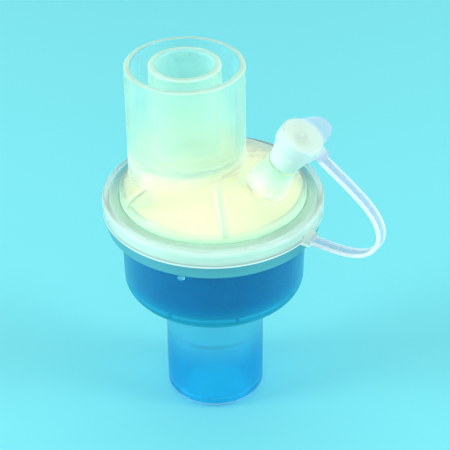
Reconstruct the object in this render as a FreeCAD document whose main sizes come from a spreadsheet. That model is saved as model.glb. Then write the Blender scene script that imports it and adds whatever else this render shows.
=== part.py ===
import FreeCAD, Part
import math
import os
import Sketcher
from FreeCAD import Placement, Rotation, Vector

# Heat and moisture exchanger for a breathing circuit, standing on its machine port.
# Millimetres. The origin is the centre of the machine port's end, +Z runs up the port's axis, and
# +X points to the side of the gas sampling port. XZ is the plane that the moulds are laid out on.

doc = FreeCAD.newDocument("heat_and_moisture_exchanger")
sheet = doc.addObject("Spreadsheet::Sheet", "Sizes")


class Size:
    """A size with the expression that the document binds and the number that it stands for now."""

    def __init__(self, text, value):
        self.text = text
        self.value = value

    def joined(self, mark, other, value):
        if not isinstance(other, Size):
            other = Size(str(other), other)
        return Size(f"({self.text} {mark} {other.text})", value(self.value, other.value))

    def __add__(self, other):
        return self.joined("+", other, lambda a, b: a + b)

    def __sub__(self, other):
        return self.joined("-", other, lambda a, b: a - b)

    def __mul__(self, other):
        return self.joined("*", other, lambda a, b: a * b)

    def __truediv__(self, other):
        return self.joined("/", other, lambda a, b: a / b)

    def __neg__(self):
        return Size(f"(0 - {self.text})", -self.value)


ZERO = Size("0", 0.0)
DOWN = Vector(0, 0, -1)


def root(size):
    return Size(f"sqrt({size.text})", math.sqrt(size.value))


def sine(angle):
    return Size(f"sin({angle.text})", math.sin(math.radians(angle.value)))


def cosine(angle):
    return Size(f"cos({angle.text})", math.cos(math.radians(angle.value)))


def driving_size(alias, value, row=[0]):
    """Write one driving size into the sheet and give it back for use in formulas."""
    row[0] += 1
    sheet.set(f"A{row[0]}", alias.replace("_", " "))
    sheet.set(f"B{row[0]}", str(value))
    sheet.setAlias(f"B{row[0]}", alias)
    return Size(f"Sizes.{alias}", float(value))


# Walls, clearances and rounded edges
wall = driving_size("wall", 1.5)
seat_gap = driving_size("seat_gap", 0.05)
media_gap = driving_size("media_gap", 0.1)
edge_round = driving_size("edge_round", 0.35)

# Housing: the radius that the cup and the dome share, and the flange where the halves meet
housing_radius = driving_size("housing_radius", 20.15)
flange_width = driving_size("flange_width", 3.15)
flange_step = driving_size("flange_step", 0.9)
lower_flange_height = driving_size("lower_flange_height", 3.2)
upper_flange_height = driving_size("upper_flange_height", 3.5)
tongue_width = driving_size("tongue_width", 0.7)
tongue_height = driving_size("tongue_height", 1.0)

# Machine side: the port with its 22 mm outside and 15 mm inside, and the cup
port_length = driving_size("port_length", 29.2)
port_radius = driving_size("port_radius", 11.0)
port_bore = driving_size("port_bore", 7.7)
port_bore_depth = driving_size("port_bore_depth", 16.0)
port_throat = driving_size("port_throat", 9.3)
port_chamfer = driving_size("port_chamfer", 1.2)
mouth_chamfer = driving_size("mouth_chamfer", 0.4)
port_root_round = driving_size("port_root_round", 0.8)
cup_depth = driving_size("cup_depth", 16.8)
cup_draft = driving_size("cup_draft", 0.2)
cup_corner = driving_size("cup_corner", 3.0)
cup_rib_height = driving_size("cup_rib_height", 1.3)
cup_rib_width = driving_size("cup_rib_width", 1.0)
cup_ribs = driving_size("cup_ribs", 8)

# Patient side: the dome
dome_wall_height = driving_size("dome_wall_height", 1.8)
dome_curve_share = driving_size("dome_curve_share", 1.71)
dome_edge_round = driving_size("dome_edge_round", 1.2)
foot_groove_width = driving_size("foot_groove_width", 0.5)
foot_groove_depth = driving_size("foot_groove_depth", 0.35)
dome_rib_width = driving_size("dome_rib_width", 1.1)
dome_rib_angle = driving_size("dome_rib_angle", 52.0)

# Patient side: the coaxial connector, 22 mm inside and 15 mm outside
connector_inset = driving_size("connector_inset", 1.0)
connector_height = driving_size("connector_height", 29.1)
socket_bore = driving_size("socket_bore", 11.2)
socket_depth = driving_size("socket_depth", 19.3)
spigot_radius = driving_size("spigot_radius", 7.65)
spigot_bore = driving_size("spigot_bore", 6.15)
spigot_rise = driving_size("spigot_rise", 0.2)
connector_fillet = driving_size("connector_fillet", 0.6)

# Gas sampling port
luer_inset = driving_size("luer_inset", 7.0)
luer_tilt = driving_size("luer_tilt", 30.0)
luer_length = driving_size("luer_length", 14.8)
luer_radius = driving_size("luer_radius", 2.8)
luer_bore = driving_size("luer_bore", 2.15)
luer_taper = driving_size("luer_taper", 0.03)
luer_bore_depth = driving_size("luer_bore_depth", 7.5)
luer_channel = driving_size("luer_channel", 1.3)
luer_collar = driving_size("luer_collar", 3.5)
luer_foot_radius = driving_size("luer_foot_radius", 4.6)

# Cap, strap and ring, moulded together in soft plastic
cap_radius = driving_size("cap_radius", 4.75)
cap_disc = driving_size("cap_disc", 3.2)
cap_top_thickness = driving_size("cap_top_thickness", 1.5)
cap_height = driving_size("cap_height", 8.6)
cap_skirt_top = driving_size("cap_skirt_top", 4.5)
cap_skirt_foot = driving_size("cap_skirt_foot", 3.4)
cap_edge_round = driving_size("cap_edge_round", 0.6)
cap_lift_gap = driving_size("cap_lift_gap", 0.2)
plug_length = driving_size("plug_length", 5.5)
cap_dimple = driving_size("cap_dimple", 0.75)
tab_reach = driving_size("tab_reach", 6.6)
tab_radius = driving_size("tab_radius", 2.6)
tab_turn = driving_size("tab_turn", 80.0)
tab_drop = driving_size("tab_drop", 0.45)
tab_thickness = driving_size("tab_thickness", 0.95)
stub_reach = driving_size("stub_reach", 6.3)
ring_wall = driving_size("ring_wall", 1.6)
ring_round = driving_size("ring_round", 0.8)
lug_reach = driving_size("lug_reach", 1.4)
lug_width = driving_size("lug_width", 4.0)
lug_drop = driving_size("lug_drop", 0.5)
lug_rise = driving_size("lug_rise", 1.0)
lug_round = driving_size("lug_round", 0.3)
strap_width = driving_size("strap_width", 3.4)
strap_edge = driving_size("strap_edge", 1.15)
strap_web = driving_size("strap_web", 0.8)
strap_bead = driving_size("strap_bead", 0.65)
strap_bend = driving_size("strap_bend", 6.2)
strap_run = driving_size("strap_run", 8.8)
strap_side = driving_size("strap_side", 2.0)
strap_gap = driving_size("strap_gap", 0.3)

# Filter pad and moisture foam
pad_height = driving_size("pad_height", 3.2)
pad_edge_round = driving_size("pad_edge_round", 0.4)

# Levels and radii that follow from the driving sizes
dome_radius = housing_radius
cup_foot_radius = housing_radius - cup_draft
lower_flange_radius = housing_radius + flange_width
upper_flange_radius = lower_flange_radius - flange_step
tongue_radius = (housing_radius + upper_flange_radius) / 2
ring_in = upper_flange_radius + seat_gap
ring_radius = upper_flange_radius + ring_wall
cup_floor = port_length + wall
flange_foot = port_length + cup_depth
joint_level = flange_foot + lower_flange_height
dome_foot = joint_level + upper_flange_height
dome_curve = dome_radius * dome_curve_share
dome_shoulder = dome_foot + dome_wall_height
dome_centre = dome_shoulder - root(dome_curve * dome_curve - dome_radius * dome_radius)
crown_level = dome_centre + dome_curve
roof_curve = dome_curve - wall
roof_radius = dome_radius - wall
roof_shoulder = dome_centre + root(roof_curve * roof_curve - roof_radius * roof_radius)
connector_radius = socket_bore + wall
connector_offset = dome_radius - connector_inset - connector_radius
connector_top = dome_foot + connector_height
socket_floor = connector_top - socket_depth
cup_inner_top = housing_radius - wall
cup_inner_foot = cup_foot_radius - wall
rib_top = cup_floor + cup_rib_height
luer_foot = dome_radius - luer_inset
luer_foot_level = dome_centre + root(dome_curve * dome_curve - luer_foot * luer_foot)
cap_face = luer_length + cap_lift_gap + cap_top_thickness
strap_level = joint_level - lug_drop + strap_edge / 2


def body(label):
    part = doc.addObject("PartDesign::Body", label)
    part.Label = label
    return part


def origin_plane(part, role):
    return next(f for f in part.Origin.OriginFeatures if f.Role == role)


def place(sketch, base, axis, angle):
    """Bind the offset of a sketch: its base point along the plane's own axes, and one turn."""
    sketch.AttachmentOffset = Placement(
        Vector(*[size.value for size in base]), Rotation(axis, angle.value)
    )
    for letter, size in zip("xyz", base):
        sketch.setExpression(f"AttachmentOffset.Base.{letter}", size.text)
    sketch.setExpression("AttachmentOffset.Rotation.Angle", angle.text)


def new_sketch(part, name, role, base=(ZERO, ZERO, ZERO), axis=Vector(0, 0, 1), angle=ZERO):
    sketch = part.newObject("Sketcher::SketchObject", name)
    sketch.AttachmentSupport = [(origin_plane(part, role), "")]
    sketch.MapMode = "FlatFace"
    if any(size is not ZERO for size in (*base, angle)):
        place(sketch, base, axis, angle)
    return sketch


def bind(sketch, *constraint, size):
    """Add a constraint whose last value is a size, and bind it to the size's expression."""
    index = sketch.addConstraint(Sketcher.Constraint(*constraint, size.value))
    sketch.setExpression(f"Constraints[{index}]", size.text)


def arc_between(start, end, radius):
    """Arc from start to end about a centre on the left of the way, or on the right if negative."""
    half = (end - start) / 2
    reach = math.sqrt(radius * radius - half.Length ** 2)
    side = Vector(-half.y, half.x, 0).normalize() * math.copysign(reach, radius)
    centre = start + half + side
    first = math.atan2(start.y - centre.y, start.x - centre.x)
    last = math.atan2(end.y - centre.y, end.x - centre.x)
    if radius < 0:
        first, last = last, first
    circle = Part.Circle(centre, Vector(0, 0, 1), abs(radius))
    return Part.ArcOfCircle(circle, first, last)


def outline(sketch, corners, arcs={}):
    """Draw a closed outline through corners, each pinned to its own two sizes.

    arcs gives the radius of the edge that leaves a corner, by the corner's number. It is positive
    where the arc turns left on its way round, and negative where it turns right.
    """
    points = [Vector(x.value, y.value, 0) for x, y in corners]
    ends = []
    for i, start in enumerate(points):
        end = points[(i + 1) % len(points)]
        if i in arcs:
            radius = arcs[i]
            edge = sketch.addGeometry(arc_between(start, end, radius.value), False)
            bind(sketch, "Radius", edge, size=radius if radius.value > 0 else -radius)
            ends.append((edge, 1, 2) if radius.value > 0 else (edge, 2, 1))
        else:
            edge = sketch.addGeometry(Part.LineSegment(start, end), False)
            ends.append((edge, 1, 2))
    for i, (x, y) in enumerate(corners):
        edge, first, _ = ends[i]
        before, _, last = ends[i - 1]
        sketch.addConstraint(Sketcher.Constraint("Coincident", before, last, edge, first))
        bind(sketch, "DistanceX", -1, 1, edge, first, size=x)
        bind(sketch, "DistanceY", -1, 1, edge, first, size=y)


def ring_outline(sketch, centre, radii):
    """Draw one circle, or two for a ring, about a centre."""
    for radius in radii:
        circle = Part.Circle(Vector(centre[0].value, centre[1].value, 0), Vector(0, 0, 1), radius.value)
        edge = sketch.addGeometry(circle, False)
        bind(sketch, "Radius", edge, size=radius)
        bind(sketch, "DistanceX", -1, 1, edge, 3, size=centre[0])
        bind(sketch, "DistanceY", -1, 1, edge, 3, size=centre[1])


def turned(part, kind, name, sketch):
    """Revolve a sketch about its own vertical axis, as added or cut away material."""
    feature = part.newObject(f"PartDesign::{kind}", name)
    feature.Profile = sketch
    feature.ReferenceAxis = (sketch, ["V_Axis"])
    feature.Angle = 360
    doc.recompute()
    return feature


def extruded(part, kind, name, sketch, length, midplane=False, back=False):
    """Pad or pocket a sketch by a length, to both sides alike if midplane is set."""
    feature = part.newObject(f"PartDesign::{kind}", name)
    feature.Profile = sketch
    feature.setExpression("Length", length.text)
    feature.SideType = "Symmetric" if midplane else "One side"
    feature.Reversed = back
    doc.recompute()
    return feature


def circle_edges(part, radius, level, centre=0.0, near=0.02):
    """Names of the tip's full circles of a radius that lie level at a height."""
    found = []
    for i, edge in enumerate(part.Tip.Shape.Edges):
        if edge.Degenerated or not isinstance(edge.Curve, Part.Circle):
            continue
        curve = edge.Curve
        off_axis = math.hypot(curve.Center.x - centre, curve.Center.y)
        off_level = abs(curve.Center.z - level)
        if abs(curve.Axis.z) > 0.999 and abs(curve.Radius - radius) < near > max(off_level, off_axis):
            found.append(f"Edge{i + 1}")
    return found


def edges_rounded(part, kind, name, edges, size):
    """Fillet or chamfer named edges of the tip."""
    base = part.Tip
    feature = part.newObject(f"PartDesign::{kind}", name)
    feature.Base = (base, edges)
    feature.setExpression("Radius" if kind == "Fillet" else "Size", size.text)
    doc.recompute()
    return feature


# Lower housing
# One clear moulding: the machine port, the cup that holds the foam, and a flange with a groove
# that takes the upper housing's tongue. Ribs on the cup's floor hold the foam off the port.
lower = body("lower_housing")
groove_out = tongue_radius + tongue_width / 2 + seat_gap
groove_in = tongue_radius - tongue_width / 2 - seat_gap
groove_floor = joint_level - tongue_height - seat_gap
bore_end = port_bore_depth + (port_throat - port_bore)
shell = new_sketch(lower, "lower_shell", "XZ_Plane")
outline(
    shell,
    [
        (port_bore, ZERO),
        (port_radius, ZERO),
        (port_radius, port_length),
        (cup_foot_radius - cup_corner, port_length),
        (cup_foot_radius, port_length + cup_corner),
        (housing_radius, flange_foot),
        (lower_flange_radius, flange_foot),
        (lower_flange_radius, joint_level),
        (groove_out, joint_level),
        (groove_out, groove_floor),
        (groove_in, groove_floor),
        (groove_in, joint_level),
        (cup_inner_top, joint_level),
        (cup_inner_foot, cup_floor + wall),
        (cup_inner_foot - wall, cup_floor),
        (port_throat, cup_floor),
        (port_throat, bore_end),
        (port_bore, port_bore_depth),
    ],
    {3: cup_corner, 13: -wall},
)
turned(lower, "Revolution", "lower_form", shell)
edges_rounded(lower, "Chamfer", "port_end", circle_edges(lower, port_radius.value, 0), port_chamfer)
edges_rounded(lower, "Chamfer", "port_mouth", circle_edges(lower, port_bore.value, 0), mouth_chamfer)
edges_rounded(
    lower, "Fillet", "port_root", circle_edges(lower, port_radius.value, port_length.value), port_root_round
)
flange_rims = circle_edges(lower, lower_flange_radius.value, flange_foot.value)
flange_rims += circle_edges(lower, lower_flange_radius.value, joint_level.value)
edges_rounded(lower, "Fillet", "flange_edges", flange_rims, edge_round)
rib = new_sketch(lower, "cup_rib_side", "XZ_Plane")
outline(
    rib,
    [
        (port_throat + edge_round, cup_floor - wall / 2),
        (cup_inner_foot, cup_floor - wall / 2),
        (cup_inner_foot, rib_top),
        (port_throat + edge_round, rib_top),
    ],
)
rib_pad = extruded(lower, "Pad", "cup_rib", rib, cup_rib_width, midplane=True)
ribs = lower.newObject("PartDesign::PolarPattern", "cup_rib_ring")
ribs.Originals = [rib_pad]
ribs.Axis = (origin_plane(lower, "Z_Axis"), [""])
ribs.Angle = 360
ribs.setExpression("Occurrences", cup_ribs.text)
lower.Tip = ribs
doc.recompute()

# Upper housing
# One milky moulding: a shallow dome on a flange, the coaxial connector set off to one side, the
# tilted gas sampling port on the other, and ribs under the dome that keep the pad from lifting.
upper = body("upper_housing")
form = new_sketch(upper, "upper_form_side", "XZ_Plane")
outline(
    form,
    [
        (ZERO, joint_level),
        (tongue_radius - tongue_width / 2, joint_level),
        (tongue_radius - tongue_width / 2, joint_level - tongue_height),
        (tongue_radius + tongue_width / 2, joint_level - tongue_height),
        (tongue_radius + tongue_width / 2, joint_level),
        (upper_flange_radius, joint_level),
        (upper_flange_radius, dome_foot),
        (dome_radius + foot_groove_width, dome_foot),
        (dome_radius + foot_groove_width, dome_foot - foot_groove_depth),
        (dome_radius, dome_foot - foot_groove_depth),
        (dome_radius, dome_shoulder),
        (ZERO, crown_level),
    ],
    {10: dome_curve},
)
turned(upper, "Revolution", "upper_form", form)
dome_rim = circle_edges(upper, dome_radius.value, dome_shoulder.value)
edges_rounded(upper, "Fillet", "dome_edge", dome_rim, dome_edge_round)
connector_axis = (-connector_offset, ZERO)
tube = new_sketch(upper, "connector_round", "XY_Plane", base=(ZERO, ZERO, dome_foot))
ring_outline(tube, connector_axis, [connector_radius])
extruded(upper, "Pad", "connector_form", tube, connector_height)
seam = []
for i, edge in enumerate(upper.Tip.Shape.Edges):
    low = edge.BoundBox.ZMin > dome_foot.value + 0.5
    high = edge.BoundBox.ZMax < connector_top.value - 0.5
    spans = edge.BoundBox.ZLength > 0.5 and edge.BoundBox.XLength > 1.5 * socket_bore.value
    if low and high and spans:
        seam.append(f"Edge{i + 1}")
edges_rounded(upper, "Fillet", "connector_foot", seam, connector_fillet)
plenum = new_sketch(upper, "plenum_side", "XZ_Plane")
outline(
    plenum,
    [
        (ZERO, joint_level),
        (roof_radius, joint_level),
        (roof_radius, roof_shoulder),
        (ZERO, crown_level - wall),
    ],
    {2: roof_curve},
)
turned(upper, "Groove", "plenum", plenum)
dome_rib = new_sketch(
    upper, "dome_rib_side", "XZ_Plane", base=(ZERO, ZERO, ZERO), axis=Vector(0, 1, 0), angle=dome_rib_angle
)
rib_foot = joint_level + pad_height + media_gap
mid_curve = dome_curve - wall / 2
mid_radius = dome_radius - wall / 2
mid_shoulder = dome_centre + root(mid_curve * mid_curve - mid_radius * mid_radius)
outline(
    dome_rib,
    [
        (-mid_radius, rib_foot),
        (mid_radius, rib_foot),
        (mid_radius, mid_shoulder),
        (-mid_radius, mid_shoulder),
    ],
    {2: mid_curve},
)
dome_rib_pad = extruded(upper, "Pad", "dome_rib", dome_rib, dome_rib_width, midplane=True)
dome_ribs = upper.newObject("PartDesign::Mirrored", "dome_rib_pair")
dome_ribs.Originals = [dome_rib_pad]
dome_ribs.MirrorPlane = (origin_plane(upper, "XZ_Plane"), [""])
upper.Tip = dome_ribs
doc.recompute()
throat = new_sketch(upper, "throat_round", "XY_Plane", base=(ZERO, ZERO, joint_level))
ring_outline(throat, connector_axis, [socket_bore])
extruded(upper, "Pocket", "throat", throat, socket_floor - wall - joint_level, back=True)
socket = new_sketch(upper, "socket_round", "XY_Plane", base=(ZERO, ZERO, connector_top))
ring_outline(socket, connector_axis, [socket_bore])
extruded(upper, "Pocket", "socket", socket, socket_depth)
spigot = new_sketch(upper, "spigot_round", "XY_Plane", base=(ZERO, ZERO, socket_floor))
ring_outline(spigot, connector_axis, [spigot_radius])
extruded(upper, "Pad", "spigot_form", spigot, socket_depth + spigot_rise)
spigot_hole = new_sketch(
    upper, "spigot_hole_round", "XY_Plane", base=(ZERO, ZERO, connector_top + spigot_rise)
)
ring_outline(spigot_hole, connector_axis, [spigot_bore])
extruded(upper, "Pocket", "spigot_hole", spigot_hole, socket_depth + spigot_rise + wall * 2)
axis_x = -connector_offset.value
rims = circle_edges(upper, connector_radius.value, connector_top.value, axis_x)
rims += circle_edges(upper, socket_bore.value, connector_top.value, axis_x)
spigot_top = connector_top.value + spigot_rise.value
rims += circle_edges(upper, spigot_radius.value, spigot_top, axis_x)
rims += circle_edges(upper, spigot_bore.value, spigot_top, axis_x)
edges_rounded(upper, "Fillet", "connector_rims", rims, edge_round)
flange_rims = circle_edges(upper, upper_flange_radius.value, dome_foot.value)
edges_rounded(upper, "Fillet", "flange_edge", flange_rims, edge_round)

# The sampling port's sketches stand on its own axis: their vertical is the port's axis, and their
# zero is the point where that axis meets the dome.
luer_base = (luer_foot, luer_foot_level, ZERO)
luer_root = -wall * 1.5
collar_level = luer_length + cap_lift_gap + cap_top_thickness - cap_height - seat_gap
luer = new_sketch(upper, "luer_side", "XZ_Plane", base=luer_base, angle=luer_tilt, axis=DOWN)
outline(
    luer,
    [
        (ZERO, luer_root),
        (luer_foot_radius, luer_root),
        (luer_foot_radius, ZERO),
        (luer_collar, collar_level - edge_round * 6),
        (luer_collar, collar_level - edge_round),
        (luer_radius, collar_level - edge_round),
        (luer_radius, luer_length),
        (ZERO, luer_length),
    ],
)
turned(upper, "Revolution", "luer_form", luer)
luer_hole = new_sketch(upper, "luer_hole_side", "XZ_Plane", base=luer_base, angle=luer_tilt, axis=DOWN)
bore_foot = luer_bore - luer_bore_depth * luer_taper
outline(
    luer_hole,
    [
        (ZERO, luer_root - luer_foot_radius),
        (luer_channel, luer_root - luer_foot_radius),
        (luer_channel, luer_length - luer_bore_depth - luer_channel / 2),
        (bore_foot, luer_length - luer_bore_depth),
        (luer_bore, luer_length),
        (ZERO, luer_length),
    ],
)
turned(upper, "Groove", "luer_hole", luer_hole)

# Filter pad
# A round pad of electrostatic fibre, laid on the foam and held at its top by the dome's ribs.
pad = body("filter_pad")
pad_round = new_sketch(pad, "pad_round", "XY_Plane", base=(ZERO, ZERO, joint_level))
ring_outline(pad_round, (ZERO, ZERO), [roof_radius - media_gap])
extruded(pad, "Pad", "pad_form", pad_round, pad_height)
pad_rims = circle_edges(pad, (roof_radius - media_gap).value, (joint_level + pad_height).value)
edges_rounded(pad, "Fillet", "pad_edge", pad_rims, pad_edge_round)

# Exchanger foam
# The plug of coated foam that takes up heat and water. It fills the cup from the ribs to the pad.
foam = body("exchanger_foam")
foam_side = new_sketch(foam, "foam_side", "XZ_Plane")
outline(
    foam_side,
    [
        (ZERO, rib_top),
        (cup_inner_foot - media_gap, rib_top),
        (cup_inner_top - media_gap, joint_level),
        (ZERO, joint_level),
    ],
)
turned(foam, "Revolution", "foam_form", foam_side)

# Tether ring
# The soft ring that snaps round the upper flange and carries the strap at a lug on its side.
ring = body("tether_ring")
ring_side = new_sketch(ring, "ring_side", "XZ_Plane")
ring_top = dome_foot
outline(
    ring_side,
    [
        (ring_in, joint_level),
        (ring_radius, joint_level),
        (ring_radius, ring_top - ring_round),
        (ring_radius - ring_round, ring_top),
        (ring_in, ring_top),
    ],
    {2: ring_round},
)
turned(ring, "Revolution", "ring_form", ring_side)
lug_end = ring_radius + lug_reach
lug = new_sketch(ring, "lug_side", "XZ_Plane", base=(ZERO, ZERO, strap_side))
lug_in = lower_flange_radius + media_gap
lug_foot = joint_level - lug_drop
lug_top = lug_foot + strap_edge
outline(
    lug,
    [
        (lug_in, lug_foot),
        (lug_end, lug_foot),
        (lug_end, lug_top),
        (ring_radius, lug_top + lug_rise),
        (lug_in, lug_top + lug_rise),
    ],
)
extruded(ring, "Pad", "lug", lug, lug_width, midplane=True)
lug_corners = [
    f"Edge{i + 1}"
    for i, edge in enumerate(ring.Tip.Shape.Edges)
    if len(edge.Vertexes) == 2
    and all(vertex.X > (lug_end - lug_round).value for vertex in edge.Vertexes)
    and abs(edge.Vertexes[0].Z - edge.Vertexes[1].Z) > lug_round.value
]
edges_rounded(ring, "Fillet", "lug_corners", lug_corners, lug_round)

# Cap strap
# The flat strap with thicker edges that ties the cap to the ring. It leaves the lug level, turns
# back over itself in one bend and runs up to the cap, in a plane that leans by the ring's turn.
strap = body("cap_strap")
tab_middle = tab_drop + tab_thickness / 2
face_x = luer_foot + cap_face * sine(luer_tilt)
face_level = luer_foot_level + cap_face * cosine(luer_tilt)
strap_reach = stub_reach + strap_gap
strap_end_x = face_x + strap_reach * cosine(luer_tilt) - tab_middle * sine(luer_tilt)
strap_end_level = face_level - strap_reach * sine(luer_tilt) - tab_middle * cosine(luer_tilt)
strap_rise = root(
    (strap_end_level - strap_level) * (strap_end_level - strap_level) + strap_side * strap_side
)
lean = Size(
    f"atan2({strap_side.text}; {(strap_end_level - strap_level).text})",
    math.degrees(math.atan2(strap_side.value, (strap_end_level - strap_level).value)),
)
route = new_sketch(
    strap, "strap_route", "XZ_Plane", base=(ZERO, strap_level, strap_side), axis=Vector(-1, 0, 0), angle=lean
)
first = Vector(lug_end.value, 0, 0)
turn = Vector(lug_end.value + strap_run.value, 0, 0)
middle = turn + Vector(0, strap_bend.value, 0)
last = Vector(strap_end_x.value, strap_rise.value, 0)
away = last - middle
swing = math.atan2(away.y, away.x) - math.acos(strap_bend.value / away.Length)
leave = middle + Vector(math.cos(swing), math.sin(swing), 0) * strap_bend.value
bend_circle = Part.Circle(middle, Vector(0, 0, 1), strap_bend.value)
level_run = route.addGeometry(Part.LineSegment(first, turn), False)
bend = route.addGeometry(Part.ArcOfCircle(bend_circle, -math.pi / 2, swing), False)
back_run = route.addGeometry(Part.LineSegment(leave, last), False)
route.addConstraint(Sketcher.Constraint("Horizontal", level_run))
route.addConstraint(Sketcher.Constraint("Tangent", level_run, 2, bend, 1))
route.addConstraint(Sketcher.Constraint("Tangent", bend, 2, back_run, 1))
bind(route, "DistanceX", -1, 1, level_run, 1, size=lug_end)
bind(route, "DistanceY", -1, 1, level_run, 1, size=ZERO)
bind(route, "DistanceX", level_run, 1, level_run, 2, size=strap_run)
bind(route, "Radius", bend, size=strap_bend)
bind(route, "DistanceX", -1, 1, back_run, 2, size=strap_end_x)
bind(route, "DistanceY", -1, 1, back_run, 2, size=strap_rise)
section = new_sketch(
    strap, "strap_section", "YZ_Plane", base=(-strap_side, strap_level, lug_end), axis=DOWN, angle=lean
)
half_width = strap_width / 2
half_edge = strap_edge / 2
half_web = strap_web / 2
bead_in = half_width - strap_bead
outline(
    section,
    [
        (-half_width, -half_edge),
        (-bead_in, -half_edge),
        (-bead_in, -half_web),
        (bead_in, -half_web),
        (bead_in, -half_edge),
        (half_width, -half_edge),
        (half_width, half_edge),
        (bead_in, half_edge),
        (bead_in, half_web),
        (-bead_in, half_web),
        (-bead_in, half_edge),
        (-half_width, half_edge),
    ],
)
doc.recompute()
strap_form = strap.newObject("PartDesign::AdditivePipe", "strap_form")
strap_form.Profile = section
strap_form.Spine = (route, ["Edge1", "Edge2", "Edge3"])
strap_form.Mode = "Standard"
doc.recompute()

# Luer cap
# The soft cap: a disc with a rounded rim, a tapering skirt outside the port, a tapered plug in
# its bore, a thin thumb tab to one side and the stub that the strap is moulded to.
cap = body("luer_cap")
plug_top = luer_length + cap_lift_gap
skirt_in = luer_radius + seat_gap
skirt_foot = cap_face - cap_height
plug_foot = luer_length - plug_length
plug_radius = luer_bore - seat_gap
cap_side = new_sketch(cap, "cap_side", "XZ_Plane", base=luer_base, angle=luer_tilt, axis=DOWN)
outline(
    cap_side,
    [
        (ZERO, plug_foot),
        (plug_radius - plug_length * luer_taper, plug_foot),
        (plug_radius, luer_length),
        (plug_radius, plug_top),
        (skirt_in, plug_top),
        (skirt_in, skirt_foot),
        (cap_skirt_foot - edge_round, skirt_foot),
        (cap_skirt_foot, skirt_foot + edge_round),
        (cap_skirt_top, cap_face - cap_disc),
        (cap_radius, cap_face - cap_disc),
        (cap_radius, cap_face - cap_edge_round),
        (cap_radius - cap_edge_round, cap_face),
        (cap_dimple, cap_face),
        (ZERO, cap_face - cap_dimple / 2),
    ],
    {6: edge_round, 7: -luer_length * 2, 10: cap_edge_round},
)
turned(cap, "Revolution", "cap_form", cap_side)
tab_plane = dict(
    base=(
        luer_foot + (cap_face - tab_drop) * sine(luer_tilt),
        ZERO,
        luer_foot_level + (cap_face - tab_drop) * cosine(luer_tilt),
    ),
    axis=Vector(0, 1, 0),
    angle=luer_tilt,
)
tab = new_sketch(cap, "tab_round", "XY_Plane", **tab_plane)
hull_in = cap_skirt_top - edge_round
tab_touch = (cap_radius - tab_radius) / tab_reach
tab_side = root(-(tab_touch * tab_touch) + 1)
tab_base = cap_radius - edge_round


def tab_point(along, across):
    """Point of the tab's own layout, in the plane of the cap's disc."""
    x = along * cosine(tab_turn) - across * sine(tab_turn)
    y = along * sine(tab_turn) + across * cosine(tab_turn)
    return x, y


outline(
    tab,
    [
        tab_point(tab_base * tab_touch, -(tab_base * tab_side)),
        tab_point(tab_reach + tab_radius * tab_touch, -(tab_radius * tab_side)),
        tab_point(tab_reach + tab_radius * tab_touch, tab_radius * tab_side),
        tab_point(tab_base * tab_touch, tab_base * tab_side),
    ],
    {1: tab_radius},
)
extruded(cap, "Pad", "thumb_tab", tab, tab_thickness, back=True)
stub = new_sketch(cap, "stub_round", "XY_Plane", **tab_plane)
outline(
    stub,
    [
        (hull_in, -half_width - edge_round),
        (stub_reach, -half_width),
        (stub_reach, half_width),
        (hull_in, half_width + edge_round),
    ],
)
extruded(cap, "Pad", "strap_stub", stub, tab_thickness, back=True)

doc.recompute()
parts = [lower, upper, pad, foam, ring, strap, cap]
for item in doc.Objects:
    if "Invalid" in item.State or "Error" in item.State:
        raise RuntimeError(f"{item.Name} did not compute: {item.State}")
os.makedirs("parts", exist_ok=True)
for item in parts:
    shape = item.Shape
    if shape.isNull() or not shape.isValid() or len(shape.Solids) != 1:
        raise RuntimeError(f"{item.Label} is not one sound solid")
    shape.exportStep(f"parts/{item.Label}.step")
    box = shape.BoundBox
    print(
        f"{item.Label}: {shape.Volume:.1f} mm3, x {box.XMin:.2f} to {box.XMax:.2f}, "
        f"y {box.YMin:.2f} to {box.YMax:.2f}, z {box.ZMin:.2f} to {box.ZMax:.2f}"
    )
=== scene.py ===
import math

import bpy
import numpy as np
from mathutils import Matrix, Vector


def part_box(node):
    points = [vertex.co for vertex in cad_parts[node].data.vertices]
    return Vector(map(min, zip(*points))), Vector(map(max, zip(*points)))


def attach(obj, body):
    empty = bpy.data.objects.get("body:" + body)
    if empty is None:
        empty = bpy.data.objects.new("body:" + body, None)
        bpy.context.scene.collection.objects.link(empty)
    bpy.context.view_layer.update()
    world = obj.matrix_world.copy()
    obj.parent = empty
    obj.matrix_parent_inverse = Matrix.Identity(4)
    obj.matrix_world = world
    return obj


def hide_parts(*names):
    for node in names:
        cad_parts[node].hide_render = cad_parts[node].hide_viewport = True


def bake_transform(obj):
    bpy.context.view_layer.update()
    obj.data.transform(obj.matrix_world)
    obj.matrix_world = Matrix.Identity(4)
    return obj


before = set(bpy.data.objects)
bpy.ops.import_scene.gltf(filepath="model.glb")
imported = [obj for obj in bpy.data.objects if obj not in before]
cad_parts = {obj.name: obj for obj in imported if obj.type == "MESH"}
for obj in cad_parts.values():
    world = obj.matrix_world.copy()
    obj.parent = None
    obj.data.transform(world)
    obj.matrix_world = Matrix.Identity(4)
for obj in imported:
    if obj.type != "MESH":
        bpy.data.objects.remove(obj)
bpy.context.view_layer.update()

# Camera
# It stands in front and to the right of the sampling port's side, and looks down on the dome. Its
# place, lens and slight tilt come from the circles and upright walls that the photograph shows.
view_turn = math.radians(30.0)
view_pitch = math.radians(34.26)
view_tilt = math.radians(0.511)
view_aim = Vector((0.00216, 0.00125, 0.04362))
view_distance = 0.3299
camera = bpy.data.objects.new("camera", bpy.data.cameras.new("camera"))
bpy.context.collection.objects.link(camera)
camera.data.sensor_width = 36.0
camera.data.lens = 120.3
camera.data.clip_start = 0.01
facing = (
    Matrix.Rotation(view_turn, 4, "Z")
    @ Matrix.Rotation(math.pi / 2 - view_pitch, 4, "X")
    @ Matrix.Rotation(-view_tilt, 4, "Z")
)
camera.matrix_world = Matrix.Translation(view_aim) @ facing @ Matrix.Translation((0, 0, view_distance))
bpy.context.scene.camera = camera


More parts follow.
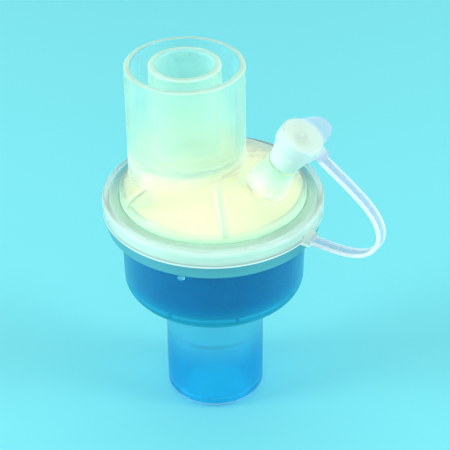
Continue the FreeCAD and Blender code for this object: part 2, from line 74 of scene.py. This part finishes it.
# Floor
# A plain pale blue-green sheet, wide enough to fill the view from every side. It is matt, so that it
# keeps a soft shadow and shows evenly through the clear walls.
class Wire:
    """An output socket of a material. Arithmetic on wires and numbers adds Math nodes."""

    def __init__(self, tree, socket=None):
        self.tree = tree
        self.socket = socket

    def node(self, kind, sockets=(), output=0, **settings):
        """Add a node: its type, its settings, then its sockets by name or number, and one output."""
        made = self.tree.nodes.new("ShaderNode" + kind)
        for name, value in settings.items():
            setattr(made, name, value)
        for name, value in dict(sockets).items():
            if isinstance(value, Wire):
                self.tree.links.new(value.socket, made.inputs[name])
            else:
                made.inputs[name].default_value = value
        return Wire(self.tree, made.outputs[output])

    def ramp(self, *stops):
        """Add a colour ramp through stops of a place and a colour."""
        made = self.node("ValToRGB", {0: self})
        band = made.socket.node.color_ramp
        for i, (place, colour) in enumerate(stops):
            stop = band.elements[i] if i < 2 else band.elements.new(place)
            stop.position = place
            stop.color = (*colour, 1.0)
        return made

    def math(self, operation, *values):
        return self.node("Math", dict(enumerate(values)), operation=operation)

    def __add__(self, other):
        return self.math("ADD", self, other)

    def __sub__(self, other):
        return self.math("SUBTRACT", self, other)

    def __rsub__(self, other):
        return self.math("SUBTRACT", other, self)

    def __mul__(self, other):
        return self.math("MULTIPLY", self, other)

    __radd__ = __add__
    __rmul__ = __mul__


def new_finish(name):
    """Start a material with an empty node tree, and give back the material and a bare wire."""
    finish = bpy.data.materials.new(name)
    finish.use_nodes = True
    finish.node_tree.nodes.clear()
    return finish, Wire(finish.node_tree)


def close_finish(finish, shader):
    """Send a shader to the material's output."""
    output = finish.node_tree.nodes.new("ShaderNodeOutputMaterial")
    finish.node_tree.links.new(shader.socket, output.inputs["Surface"])


floor_size = 6.0
floor_mesh = bpy.data.meshes.new("floor")
corners = floor_size * np.array([(-1, -1, 0), (1, -1, 0), (1, 1, 0), (-1, 1, 0)], float)
floor_mesh.from_pydata(corners, [], [(0, 1, 2, 3)])
floor = bpy.data.objects.new("floor", floor_mesh)
bpy.context.collection.objects.link(floor)
floor_finish, wire = new_finish("floor_finish")
floor_colour = (0.18, 0.76, 0.83, 1.0)
close_finish(
    floor_finish, wire.node("BsdfPrincipled", {"Base Color": floor_colour, "Roughness": 0.9})
)
floor_mesh.materials.append(floor_finish)


# Lights
# Soft boxes stand left, right and low in front of the object and one hangs above it, inside a white
# tent that the world stands for.
def soft_box(name, turn, height, distance, size, power):
    """Hang an area light round the object's axis, turned to face its middle."""
    lamp = bpy.data.lights.new(name, "AREA")
    lamp.shape = "RECTANGLE"
    lamp.size, lamp.size_y = size
    lamp.energy = power
    box = bpy.data.objects.new(name, lamp)
    bpy.context.collection.objects.link(box)
    place = Vector((distance * math.cos(turn), distance * math.sin(turn), height))
    box.location = place
    box.rotation_euler = (view_aim - place).to_track_quat("-Z", "Y").to_euler()


camera_turn = view_turn - math.pi / 2
soft_box("left_box", camera_turn - math.radians(76), 0.24, 0.62, (0.22, 0.34), 2.8)
soft_box("right_box", camera_turn + math.radians(76), 0.24, 0.62, (0.22, 0.34), 2.5)
soft_box("front_box", camera_turn, 0.16, 0.80, (0.50, 0.22), 1.9)
soft_box("top_box", camera_turn + math.pi, 0.9, 0.25, (0.8, 0.8), 1.1)
world = bpy.data.worlds.new("tent")
bpy.context.scene.world = world
world.use_nodes = True
world.node_tree.nodes["Background"].inputs["Color"].default_value = (0.97, 0.98, 0.98, 1.0)
world.node_tree.nodes["Background"].inputs["Strength"].default_value = 0.60
bpy.context.scene.view_settings.view_transform = "Standard"
bpy.context.scene.cycles.transparent_max_bounces = 32
bpy.context.scene.cycles.transmission_bounces = 16
bpy.context.scene.cycles.max_bounces = 20

# Lower housing
# The cup, its flange and the machine port, one moulding in clear blue plastic with a faint bloom. The
# tint deepens with the length of the way through it, so its edges are azure and its flange is teal.
def veiled_wall(wire, haze, colour, glow, glow_colour, roughness, ior, tone, bump):
    """Clear plastic that blurs, veiled at each face by a share of milk that glows from behind too.

    Lamps shine through the clear share, as they do through a real thin wall.
    """
    matt = {"Base Color": colour, "Roughness": 1.0, "Specular IOR Level": 0.0, "Normal": bump}
    lit_side = wire.node("BsdfPrincipled", matt)
    dark_side = wire.node("BsdfTranslucent", {"Color": (*glow_colour, 1.0), "Normal": bump})
    milk = wire.node("MixShader", {0: glow, 1: lit_side, 2: dark_side})
    blur = wire.node(
        "BsdfPrincipled",
        {
            "Base Color": (*tone, 1.0),
            "Specular Tint": (*tone, 1.0),
            "Roughness": roughness,
            "IOR": ior,
            "Transmission Weight": 1.0,
            "Normal": bump,
        },
    )
    lamp_way = wire.node("BsdfTransparent", {"Color": (*tone, 1.0)})
    to_lamp = wire.node("LightPath", output="Is Shadow Ray")
    clear = wire.node("MixShader", {0: to_lamp, 1: blur, 2: lamp_way})
    return wire.node("MixShader", {0: haze, 1: clear, 2: milk})


clear_blue, wire = new_finish("clear_plastic")
place = wire.node("TexCoord", output="Object")
level = wire.node("SeparateXYZ", {0: place}, output="Z")
ripple = wire.node("TexNoise", {"Vector": place, "Scale": 90.0, "Detail": 2.0}, output="Fac")
wave = wire.node("Bump", {"Height": ripple, "Strength": 0.08, "Distance": 0.0004})
height = wire.node("MapRange", {0: level, 1: 0.0, 2: 0.05})
# In both ramps a narrow band from 0.9 to 1.9 mm above the port's end is cloudier and pale: a painted
# highlight along the end's chamfer.
haze = height.ramp(
    (0.018, (0.20,) * 3),
    (0.028, (0.60,) * 3),
    (0.038, (0.20,) * 3),
    (0.20, (0.20,) * 3),
    (0.36, (0.42,) * 3),
    (0.54, (0.42,) * 3),
    (0.61, (0.50,) * 3),
    (0.71, (0.13,) * 3),
    (0.90, (0.13,) * 3),
    (0.92, (0.50,) * 3),
)
bloom_and_highlight = height.ramp(
    (0.018, (0.00, 0.36, 0.76)),
    (0.028, (0.50, 0.78, 0.86)),
    (0.038, (0.00, 0.36, 0.76)),
    (0.20, (0.00, 0.36, 0.76)),
    (0.36, (0.14, 0.68, 0.78)),
    (0.54, (0.22, 0.74, 0.78)),
    (0.61, (0.03, 0.60, 0.72)),
    (0.71, (0.00, 0.38, 0.86)),
    (0.90, (0.00, 0.38, 0.86)),
    (0.92, (0.22, 0.78, 0.80)),
)
clear_wall = veiled_wall(
    wire,
    haze,
    bloom_and_highlight,
    glow=0.3,
    glow_colour=(0.08, 0.56, 0.80),
    roughness=0.25,
    ior=1.49,
    tone=(0.72, 0.97, 1.0),
    bump=wave,
)
close_finish(clear_blue, clear_wall)
tint = wire.node("VolumeAbsorption", {"Color": (0.0, 0.80, 0.93, 1.0), "Density": 230.0})
inside = clear_blue.node_tree.nodes["Material Output"].inputs["Volume"]
clear_blue.node_tree.links.new(tint.socket, inside)
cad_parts["lower_housing"].material_slots[0].material = clear_blue

# Exchanger foam
# A plug of open-cell foam, dark blue, cut to the cup and pressed in. Its cells make a fine rough face.
foam, wire = new_finish("blue_foam")
place = wire.node("TexCoord", output="Object")
cells = wire.node(
    "TexVoronoi", {"Vector": place, "Scale": 1700.0, "Randomness": 1.0}, output="Distance"
)
clumps = wire.node("TexNoise", {"Vector": place, "Scale": 160.0, "Detail": 4.0}, output="Fac")
grain = cells * 0.6 + clumps * 0.5
foam_colour = grain.ramp((0.2, (0.002, 0.052, 0.14)), (0.8, (0.004, 0.085, 0.21)))
pores = wire.node("Bump", {"Height": cells, "Strength": 0.5, "Distance": 0.0004})
close_finish(
    foam,
    wire.node(
        "BsdfPrincipled",
        {"Base Color": foam_colour, "Roughness": 0.85, "Specular IOR Level": 0.2, "Normal": pores},
    ),
)
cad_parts["exchanger_foam"].material_slots[0].material = foam

# Filter pad
# A round of needled cream fibre that lies on the foam under the dome. It is laid in loose, and the
# ribs of the dome hold it down.
felt, wire = new_finish("white_fibre")
place = wire.node("TexCoord", output="Object")
hairs = wire.node(
    "TexNoise", {"Vector": place, "Scale": 700.0, "Detail": 6.0, "Distortion": 1.5}, output="Fac"
)
matting = wire.node("TexNoise", {"Vector": place, "Scale": 120.0, "Detail": 3.0}, output="Fac")
felt_colour = (hairs * 0.6 + matting * 0.4).ramp(
    (0.3, (0.96, 0.90, 0.54)), (0.65, (1.0, 0.96, 0.66))
)
nap = wire.node("Bump", {"Height": hairs, "Strength": 0.5, "Distance": 0.0004})
close_finish(
    felt,
    wire.node("BsdfPrincipled", {"Base Color": felt_colour, "Roughness": 0.95, "Normal": nap}),
)
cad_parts["filter_pad"].material_slots[0].material = felt

# Upper housing
# The dome with its flange, coaxial connector and sampling port, one moulding in milky plastic. Its
# thin walls blur what lies behind them, and the solid flange and the rims of its tubes are whiter.
def backdrop_side(wire, place):
    """0 on the half with the gate knob, rising to 1 round the opposite edge: a painted see-through
    share.
    """
    backdrop_way = (-0.5, 0.866, 0.0)
    depth = wire.node("VectorMath", {0: place, 1: backdrop_way}, output="Value", operation="DOT_PRODUCT")
    return wire.node("MapRange", {0: depth, 1: -0.004, 2: 0.014}, interpolation_type="SMOOTHSTEP")


milky, wire = new_finish("milky_plastic")
place = wire.node("TexCoord", output="Object")
level = wire.node("SeparateXYZ", {0: place}, output="Z")
flow = wire.node("TexNoise", {"Vector": place, "Scale": 55.0, "Detail": 3.0}, output="Fac")
height = wire.node("MapRange", {0: level, 1: 0.05, 2: 0.082})
cloud = 0.05 * flow + height.ramp(
    (0.08, (0.80,) * 3),
    (0.12, (0.20,) * 3),
    (0.28, (0.14,) * 3),
    (0.36, (0.36,) * 3),
    (0.46, (0.12,) * 3),
    (0.98, (0.11,) * 3),
    (0.99, (0.42,) * 3),
)
slant = wire.node("LayerWeight", {"Blend": 0.5}, output="Facing")
long_way = wire.node("MapRange", {0: slant, 1: 0.45, 2: 0.95, 3: 0.0, 4: 0.19})
from_outside = 1.0 - wire.node("NewGeometry", output="Backfacing")
# The milk's colour by height: mint on the flange and tubes and paler at the rims, and cream over the
# dome, a painted glow standing in for the pad's cream light scattered up through the thin dome.
milk_and_pad_glow = height.ramp(
    (0.08, (0.66, 1.0, 0.82)),
    (0.20, (0.97, 0.99, 0.80)),
    (0.30, (0.97, 0.98, 0.80)),
    (0.44, (0.60, 0.95, 0.74)),
    (0.98, (0.54, 0.93, 0.75)),
    (0.99, (0.70, 0.98, 0.88)),
)
in_flange = wire.node("MapRange", {0: level, 1: 0.0555, 2: 0.0530})
# Painted see-through colour: round the flange's far edge the milk is made thinner and azure, standing
# in for the blue backdrop showing through.
painted_backdrop = backdrop_side(wire, place) * in_flange
haze = cloud * (1.0 - 0.35 * painted_backdrop)
# Painted shade: the faces in the gap inside the socket and in the bore are painted deep blue where
# seen from outside, standing in for the shade down these recesses, and the inner tube is cloudier
flat_place = wire.node("VectorMath", {0: place, 1: (1.0, 1.0, 0.0)}, operation="MULTIPLY")
connector_foot = (-0.00645, 0.0, 0.0)
off_axis = wire.node(
    "VectorMath", {0: flat_place, 1: connector_foot}, output="Value", operation="DISTANCE"
)
past_gap = wire.node("MapRange", {0: off_axis, 1: 0.0090, 2: 0.0100})
short_of_skin = wire.node("MapRange", {0: off_axis, 1: 0.0118, 2: 0.0113})
in_socket = wire.node("MapRange", {0: level, 1: 0.0640, 2: 0.0700})
in_bore = wire.node("MapRange", {0: off_axis, 1: 0.0068, 2: 0.0064, 3: 0.0, 4: 0.5})
shade = (past_gap * short_of_skin + in_bore) * in_socket * from_outside
inner_tube = wire.node("MapRange", {0: off_axis, 1: 0.0088, 2: 0.0080, 3: 0.0, 4: 0.1})
milk_colour = wire.node(
    "Mix",
    {0: shade + 0.85 * painted_backdrop, 6: milk_and_pad_glow, 7: (0.07, 0.62, 0.83, 1.0)},
    output=2,
    data_type="RGBA",
)
port_middle = (0.0155, 0.0, 0.0620)
to_port = wire.node("VectorMath", {0: place, 1: port_middle}, output="Value", operation="DISTANCE")
port_haze = wire.node(
    "MapRange", {0: to_port, 1: 0.0065, 2: 0.0050, 3: 0.0, 4: 0.4}, interpolation_type="SMOOTHSTEP"
)
# The two ribs under the dome get more milk: painted light that lifts the shade on their upright faces
# and stands in for the faint light lines they show. They lie 52 degrees either side of the middle
# plane
rib_turn = math.radians(52.0)
rib_side = (math.sin(rib_turn), -math.cos(rib_turn), 0.0)
quadrant = wire.node("VectorMath", {0: place}, operation="ABSOLUTE")
from_rib = wire.node("VectorMath", {0: quadrant, 1: rib_side}, output="Value", operation="DOT_PRODUCT")
in_rib = wire.node("MapRange", {0: wire.math("ABSOLUTE", from_rib), 1: 0.0009, 2: 0.0007})
in_dome = wire.node("MapRange", {0: level, 1: 0.0612, 2: 0.0600}) * (1.0 - in_flange)
skin = wire.node("TexNoise", {"Vector": place, "Scale": 900.0, "Detail": 2.0}, output="Fac")
fine = wire.node("Bump", {"Height": skin, "Strength": 0.04, "Distance": 0.0002})
milky_wall = veiled_wall(
    wire,
    haze
    + port_haze
    + long_way * from_outside * (1.0 - painted_backdrop)
    + inner_tube * in_socket
    + 0.2 * shade
    + 0.25 * in_rib * in_dome,
    milk_colour,
    glow=0.2,
    glow_colour=(0.78, 0.98, 0.80),
    roughness=0.26,
    ior=1.4,
    tone=(0.99, 1.0, 0.985),
    bump=fine,
)
close_finish(milky, milky_wall)
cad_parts["upper_housing"].material_slots[0].material = milky

# Tether ring and luer cap
# Both belong to one soft moulding in cloudy plastic with a satin skin: the ring is stretched round the
# flanges and the cap is pressed over the sampling port. Thin stretches are clearer and lavender.
def soft_plastic(name, shade, cloudiness):
    """Cloudy plastic. Two functions of the wire and place give its milk's colour and its haze."""
    finish, wire = new_finish(name)
    place = wire.node("TexCoord", output="Object")
    cloud = wire.node("TexNoise", {"Vector": place, "Scale": 130.0, "Detail": 3.0}, output="Fac")
    satin = wire.node("TexNoise", {"Vector": place, "Scale": 1500.0, "Detail": 2.0}, output="Fac")
    graze = wire.node("Bump", {"Height": satin, "Strength": 0.06, "Distance": 0.0002})
    shell = veiled_wall(
        wire,
        0.12 * cloud + cloudiness(wire, place),
        shade(wire, place),
        glow=0.25,
        glow_colour=(0.78, 0.92, 0.88),
        roughness=0.2,
        ior=1.45,
        tone=(0.95, 0.97, 1.0),
        bump=graze,
    )
    close_finish(finish, shell)
    return finish


def ring_height(wire, place):
    """How high a point lies on the ring, from 0 at its foot to 1 at its top."""
    level = wire.node("SeparateXYZ", {0: place}, output="Z")
    return wire.node("MapRange", {0: level, 1: ring_foot, 2: ring_top})


def cap_reach(wire, place):
    """How far a point lies outside the cap's round, from 0 on it to 1 on the tab and the stub."""
    spoke = wire.node("VectorMath", {0: place, 1: luer_foot}, operation="SUBTRACT")
    swing = wire.node("VectorMath", {0: spoke, 1: luer_axis}, operation="CROSS_PRODUCT")
    reach = wire.node("VectorMath", {0: swing}, output="Value", operation="LENGTH")
    return wire.node("MapRange", {0: reach, 1: 0.0042, 2: 0.0060})


ring_foot, ring_top = (corner[2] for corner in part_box("tether_ring"))
luer_foot = (0.01425, 0.0, 0.0603)
luer_axis = (0.5, 0.0, 0.866)
# Painted light on the ring: its top edge is painted paler and cloudier than its side, as though lit
# from above. Its foot is paler and cloudier still, and its far side is clearer, painted as if seen
# through.
ring_finish = soft_plastic(
    "ring_plastic",
    lambda wire, place: ring_height(wire, place).ramp(
        (0.12, (1.0, 1.0, 0.92)),
        (0.24, (0.66, 0.84, 0.77)),
        (0.70, (0.66, 0.86, 0.77)),
        (0.92, (0.82, 1.0, 0.89)),
    ),
    lambda wire, place: ring_height(wire, place).ramp(
        (0.12, (0.74,) * 3), (0.24, (0.25,) * 3), (0.75, (0.27,) * 3), (0.95, (0.44,) * 3)
    )
    * (1.0 - 0.7 * backdrop_side(wire, place)),
)
cap_finish = soft_plastic(
    "cap_plastic",
    lambda wire, place: cap_reach(wire, place).ramp(
        (0.0, (0.86, 1.0, 0.90)), (1.0, (0.56, 0.68, 0.88))
    ),
    lambda wire, place: cap_reach(wire, place).ramp((0.0, (0.55,) * 3), (1.0, (0.30,) * 3)),
)
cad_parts["tether_ring"].material_slots[0].material = ring_finish
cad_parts["luer_cap"].material_slots[0].material = cap_finish

# Cap strap
# The tie of the same moulding, a thin web between two round beads. It leaves the ring's lug level,
# turns back over itself in one bend and climbs to the cap's stub, in a plane that leans with the two.
strap_lean = math.radians(5.91)
strap_foot = np.array([0.0, -0.0020, 0.049275])
outward = np.array([1.0, 0.0, 0.0])
upward = np.array([0.0, math.sin(strap_lean), math.cos(strap_lean)])
sideward = np.array([0.0, -math.cos(strap_lean), math.sin(strap_lean)])
strap_from = 0.0245 + 0.0001j
strap_to = 0.0254 + 0.0195j
strap_bend = math.radians(152.0)
bend_sharpness = 6.2
bend_place = 0.43
strap_width = 0.0034
bead_radius = 0.00045
web_share = 0.7
web_fillet = 0.25
end_round = 0.0009
squareness = 0.6
rings = 180
around = 40


def strap_line(places):
    """The strap's middle line and its headings in its plane, as complex numbers, out plus up times i.

    The heading turns by the bend as a tanh curve does, slowly at both ends. The line is the running
    sum of steps with that heading, then turned and scaled so that it starts and ends in place.
    """
    swing = np.tanh(bend_sharpness * (places - bend_place))
    heading = np.exp(1j * strap_bend * (swing - swing[0]) / (swing[-1] - swing[0]))
    steps = (heading[1:] + heading[:-1]) / 2 * np.diff(places)
    line = np.append(0, np.cumsum(steps))
    fit = (strap_to - strap_from) / line[-1]
    return strap_from + line * fit, heading * fit / abs(fit)


def closed_tube(name, sections, first_pole, last_pole):
    """A mesh through sections of equal counts, closed by a point at each end, facing outward."""
    count, corners = sections.shape[:2]
    here = np.arange(corners)
    beside = np.roll(here, -1)
    rows = corners * np.arange(count - 1)[:, None]
    walls = np.stack(
        [rows + here, rows + beside, rows + corners + beside, rows + corners + here], axis=-1
    )
    first, last = count * corners, count * corners + 1
    end_row = corners * (count - 1)
    opening = [(first, b, a) for a, b in zip(here.tolist(), beside.tolist())]
    closing = [(last, end_row + a, end_row + b) for a, b in zip(here.tolist(), beside.tolist())]
    mesh = bpy.data.meshes.new(name)
    points = np.vstack([sections.reshape(-1, 3), first_pole, last_pole])
    mesh.from_pydata(points, [], walls.reshape(-1, 4).tolist() + opening + closing)
    mesh.shade_smooth()
    piece = bpy.data.objects.new(name, mesh)
    bpy.context.collection.objects.link(piece)
    return piece


def strap_mesh():
    """Sweep the web and its beads along the middle line. It swells from a point at each end.

    A bead is round, and its half thickness falls to the web's share of it by a cosine. The beads are
    kept as the attribute bead, 1 on them and 0 in the middle of the web.
    """
    places = (1 - np.cos(math.pi * np.linspace(0, 1, rings))) / 2
    line, heading = strap_line(places)
    length = abs(np.diff(line)).sum()
    from_end = np.minimum(places, 1 - places)[1:-1] * length
    swell = np.sqrt(1 - (1 - np.minimum(from_end / end_round, 1)) ** 2)[:, None]
    turn = np.linspace(0, 2 * math.pi, around, endpoint=False)
    across = np.sign(np.cos(turn)) * abs(np.cos(turn)) ** squareness * strap_width / 2
    inside = np.minimum((strap_width / 2 - abs(across)) / bead_radius, 1)
    rounded = np.sqrt(1 - (1 - inside) ** 2)
    into_web = np.clip(1 - abs(across) / (strap_width / 2 - bead_radius), 0, 1)
    fall = (1 + np.cos(math.pi * np.minimum(into_web / web_fillet, 1))) / 2
    waist = web_share + (1 - web_share) * fall
    through = np.sign(np.sin(turn)) * bead_radius * rounded * waist
    level = line[1:-1, None] - 1j * heading[1:-1, None] * swell * through
    beside = (swell * across)[..., None]
    sections = strap_foot + level.real[..., None] * outward + level.imag[..., None] * upward
    poles = [strap_foot + end.real * outward + end.imag * upward for end in (line[0], line[-1])]
    piece = closed_tube("cap_tie", sections + beside * sideward, *poles)
    bead = np.append(np.tile((waist - web_share) / (1 - web_share), rings - 2), [1, 1])
    piece.data.attributes.new("bead", "FLOAT", "POINT").data.foreach_set("value", bead)
    return piece


def bead_share(wire, place):
    """1 on the strap's beads and 0 in the middle of its web."""
    return wire.node("Attribute", output="Fac", attribute_name="bead")


cap_tie = strap_mesh()
# Painted highlight: the beads are painted near white and cloudier than the lavender web, standing in
# for the highlights along their round edges.
strap_finish = soft_plastic(
    "strap_plastic",
    lambda wire, place: bead_share(wire, place).ramp(
        (0.1, (0.44, 0.52, 0.78)), (0.9, (0.96, 1.0, 0.98))
    ),
    lambda wire, place: bead_share(wire, place).ramp((0.1, (0.28,) * 3), (0.9, (0.56,) * 3)),
)
cap_tie.data.materials.append(strap_finish)
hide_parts("cap_strap")
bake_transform(cap_tie)

# Gate knob
# The small stub of plastic that moulding left on the lower flange's foot, where the gate was cut off.
# It is part of the clear blue moulding, glossy and rounded.
knob_turn = math.radians(-76.7)
knob_radius = 0.0232
knob_level = 0.04565
knob_half_width = 0.00075
knob_half_height = 0.0005
knob_half_reach = 0.00055
knob_boxiness = 2.6


def gate_knob():
    """A low knob: ovals along the flange's radius that shrink at both ends as a rounded box does."""
    radial = np.array([math.cos(knob_turn), math.sin(knob_turn), 0.0])
    round_way = np.array([-math.sin(knob_turn), math.cos(knob_turn), 0.0])
    rise = np.array([0.0, 0.0, 1.0])
    middle = knob_radius * radial + knob_level * rise
    climb = np.linspace(-1, 1, 20)[1:-1, None, None]
    swell = (1 - abs(climb) ** knob_boxiness) ** (1 / knob_boxiness)
    lap = np.linspace(0, 2 * math.pi, around, endpoint=False)[:, None]
    ovals = knob_half_width * np.cos(lap) * round_way + knob_half_height * np.sin(lap) * rise
    reach = knob_half_reach * radial
    return closed_tube(
        "gate_knob", middle + climb * reach + swell * ovals, middle - reach, middle + reach
    )


knob = gate_knob()
knob.data.materials.append(clear_blue)
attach(knob, "housing")
